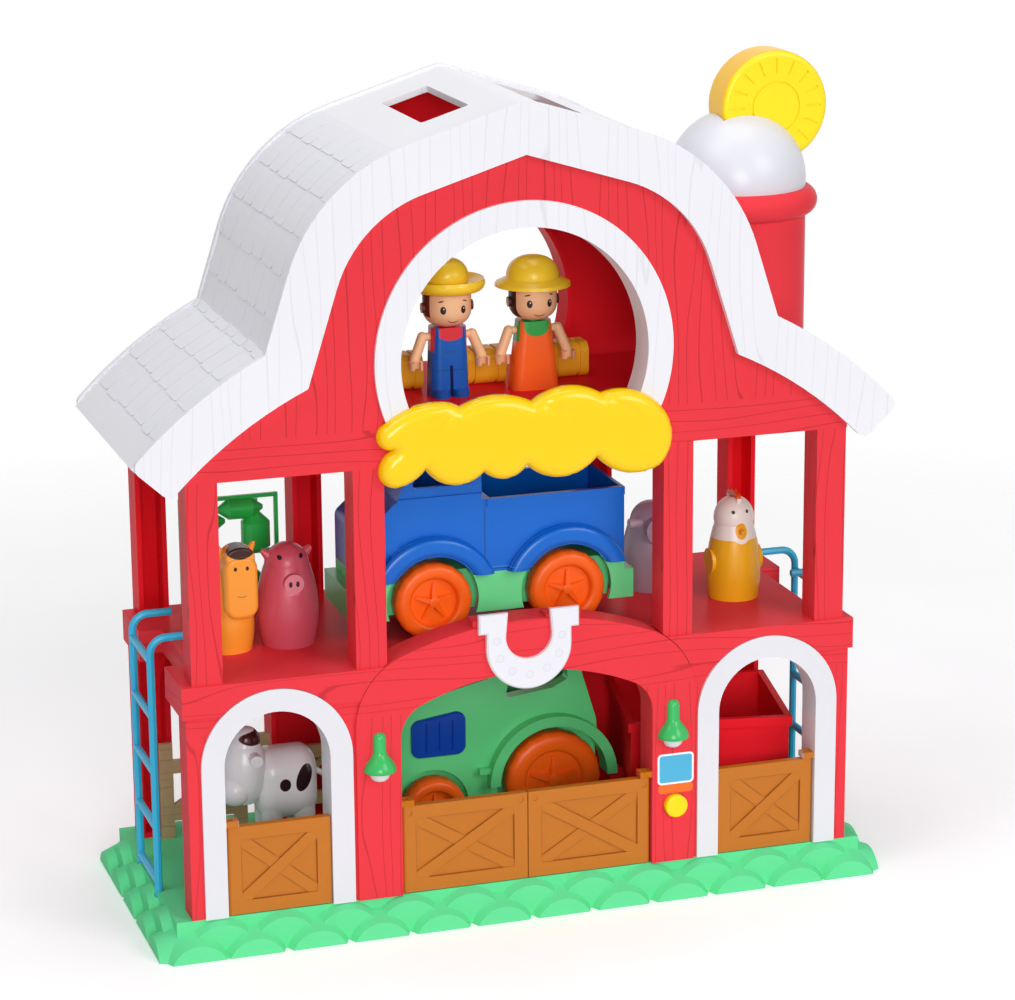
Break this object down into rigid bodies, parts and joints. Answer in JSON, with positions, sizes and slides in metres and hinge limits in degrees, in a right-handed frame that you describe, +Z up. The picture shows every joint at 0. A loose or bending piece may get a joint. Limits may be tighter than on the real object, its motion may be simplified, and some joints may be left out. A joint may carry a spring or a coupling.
{
  "type": "toy farm playset",
  "caption": "Two-storey toy barn on a bush-edged base, with gates, silo, sun, ladders, sound button, truck, tractor and trailer, farmers and animals.",
  "frame": {"origin": "centre of the base plate's underside", "axes": "+X to the right of someone who faces the gates, +Y away from them through the house, +Z up"},
  "size_m": [0.3902, 0.158, 0.4166],
  "materials": {
    "red": "gloss",
    "white": "gloss",
    "base_green": "satin",
    "chassis_green": "gloss",
    "tractor_green": "gloss",
    "lamp_green": "gloss",
    "truck_blue": "gloss",
    "vent_blue": "gloss",
    "wheel_orange": "satin",
    "hay_yellow": "gloss",
    "sun_yellow": "gloss",
    "button_yellow": "gloss",
    "gate_brown": "satin",
    "ladder_blue": "gloss",
    "hat_yellow": "gloss",
    "skin": "satin",
    "overalls_blue": "gloss",
    "dress_orange": "gloss",
    "horse_orange": "gloss",
    "pig_pink": "gloss",
    "chicken_white": "gloss",
    "cow_white": "gloss",
    "sheep_lilac": "gloss",
    "bale_yellow": "satin",
    "sprue_green": "gloss",
    "fence_beige": "satin",
    "black": "matte",
    "board_green": "matte",
    "steel": "brushed"
  },
  "bodies": {
    "playset": {"base_plate": "base_green", "lower_front_wall": "red", "lower_rear_wall": "red", "arch_trims": "white", "middle_deck": "red", "upper_front_wall": "red", "upper_rear_wall": "red", "window_ring": "white", "loft_floor": "red", "roof": "white", "hay_awning": "hay_yellow", "horseshoe": "white", "lamps": "lamp_green", "sound_box": "red", "battery_door": "red", "circuit_board": "board_green", "speaker": "black", "button_cells": "steel", "silo_tower": "red", "silo_dome": "white", "sun": "sun_yellow", "ladders": "ladder_blue", "truck_body": "truck_blue", "truck_chassis": "chassis_green", "tractor_body": "tractor_green", "tractor_vents": "vent_blue", "trailer_box": "red", "farmer_body": "overalls_blue", "girl_body": "dress_orange", "horse": "horse_orange", "pig": "pig_pink", "chicken": "chicken_white", "cow": "cow_white", "sheep": "sheep_lilac", "hay_bales": "bale_yellow", "vegetables": "sprue_green", "fence_panels": "fence_beige"},
    "button": {"sound_button": "button_yellow"},
    "left_gate_leaf": {"left_gate": "gate_brown"},
    "centre_left_gate_leaf": {"centre_left_gate": "gate_brown"},
    "centre_right_gate_leaf": {"centre_right_gate": "gate_brown"},
    "right_gate_leaf": {"right_gate": "gate_brown"},
    "truck_front_wheelset": {"truck_front_wheels": "wheel_orange", "truck_front_axle": "steel"},
    "truck_rear_wheelset": {"truck_rear_wheels": "wheel_orange", "truck_rear_axle": "steel"},
    "tractor_front_wheelset": {"tractor_front_wheels": "wheel_orange", "tractor_front_axle": "steel"},
    "tractor_rear_wheelset": {"tractor_rear_wheels": "wheel_orange", "tractor_rear_axle": "steel"},
    "trailer_wheelset": {"trailer_wheels": "wheel_orange", "trailer_axle": "steel"},
    "farmer_top": {"farmer_head": "skin", "farmer_hat": "hat_yellow"},
    "farmer_arm_left": {"farmer_left_arm": "skin"},
    "farmer_arm_right": {"farmer_right_arm": "skin"},
    "girl_top": {"girl_head": "skin", "girl_hat": "hat_yellow"},
    "girl_arm_left": {"girl_left_arm": "skin"},
    "girl_arm_right": {"girl_right_arm": "skin"}
  },
  "joints": [
    {"name": "button_press", "type": "slide", "parent": "playset", "child": "button", "axis": [0, 1, 0], "range_m": [0, 0.0025], "stiffness_N_per_m": 200, "springref_m": -0.001},
    {"name": "left_gate_hinge", "type": "hinge", "parent": "playset", "child": "left_gate_leaf", "pos_m": [-0.1526, -0.067, 0.042], "axis": [0, 0, -1], "range_deg": [0, 90]},
    {"name": "centre_left_gate_hinge", "type": "hinge", "parent": "playset", "child": "centre_left_gate_leaf", "pos_m": [-0.0635, -0.067, 0.042], "axis": [0, 0, -1], "range_deg": [0, 90]},
    {"name": "centre_right_gate_hinge", "type": "hinge", "parent": "playset", "child": "centre_right_gate_leaf", "pos_m": [0.0635, -0.067, 0.042], "axis": [0, 0, 1], "range_deg": [0, 90]},
    {"name": "right_gate_hinge", "type": "hinge", "parent": "playset", "child": "right_gate_leaf", "pos_m": [0.1526, -0.067, 0.042], "axis": [0, 0, 1], "range_deg": [0, 90]},
    {"name": "truck_front_axle_turn", "type": "hinge", "parent": "playset", "child": "truck_front_wheelset", "pos_m": [-0.038, -0.009, 0.158], "axis": [0, 1, 0], "continuous": true},
    {"name": "truck_rear_axle_turn", "type": "hinge", "parent": "playset", "child": "truck_rear_wheelset", "pos_m": [0.0325, -0.009, 0.158], "axis": [0, 1, 0], "continuous": true},
    {"name": "tractor_front_axle_turn", "type": "hinge", "parent": "playset", "child": "tractor_front_wheelset", "pos_m": [-0.029, 0.02, 0.035], "axis": [0, 1, 0], "continuous": true},
    {"name": "tractor_rear_axle_turn", "type": "hinge", "parent": "playset", "child": "tractor_rear_wheelset", "pos_m": [0.036, 0.02, 0.044], "axis": [0, 1, 0], "continuous": true},
    {"name": "trailer_axle_turn", "type": "hinge", "parent": "playset", "child": "trailer_wheelset", "pos_m": [0.1175, -0.0005, 0.031], "axis": [0.1959, 0.9806, 0], "continuous": true},
    {"name": "farmer_head_turn", "type": "hinge", "parent": "playset", "child": "farmer_top", "pos_m": [-0.021, -0.009, 0.2928], "axis": [0, 0, 1], "range_deg": [-90, 90]},
    {"name": "farmer_left_arm_swing", "type": "hinge", "parent": "playset", "child": "farmer_arm_left", "pos_m": [-0.0339, -0.009, 0.2873], "axis": [1, 0, 0], "range_deg": [-120, 45]},
    {"name": "farmer_right_arm_swing", "type": "hinge", "parent": "playset", "child": "farmer_arm_right", "pos_m": [-0.0081, -0.009, 0.2873], "axis": [1, 0, 0], "range_deg": [-120, 45]},
    {"name": "girl_head_turn", "type": "hinge", "parent": "playset", "child": "girl_top", "pos_m": [0.024, -0.009, 0.2928], "axis": [0, 0, 1], "range_deg": [-90, 90]},
    {"name": "girl_left_arm_swing", "type": "hinge", "parent": "playset", "child": "girl_arm_left", "pos_m": [0.0111, -0.009, 0.2873], "axis": [1, 0, 0], "range_deg": [-120, 45]},
    {"name": "girl_right_arm_swing", "type": "hinge", "parent": "playset", "child": "girl_arm_right", "pos_m": [0.0369, -0.009, 0.2873], "axis": [1, 0, 0], "range_deg": [-120, 45]}
  ]
}
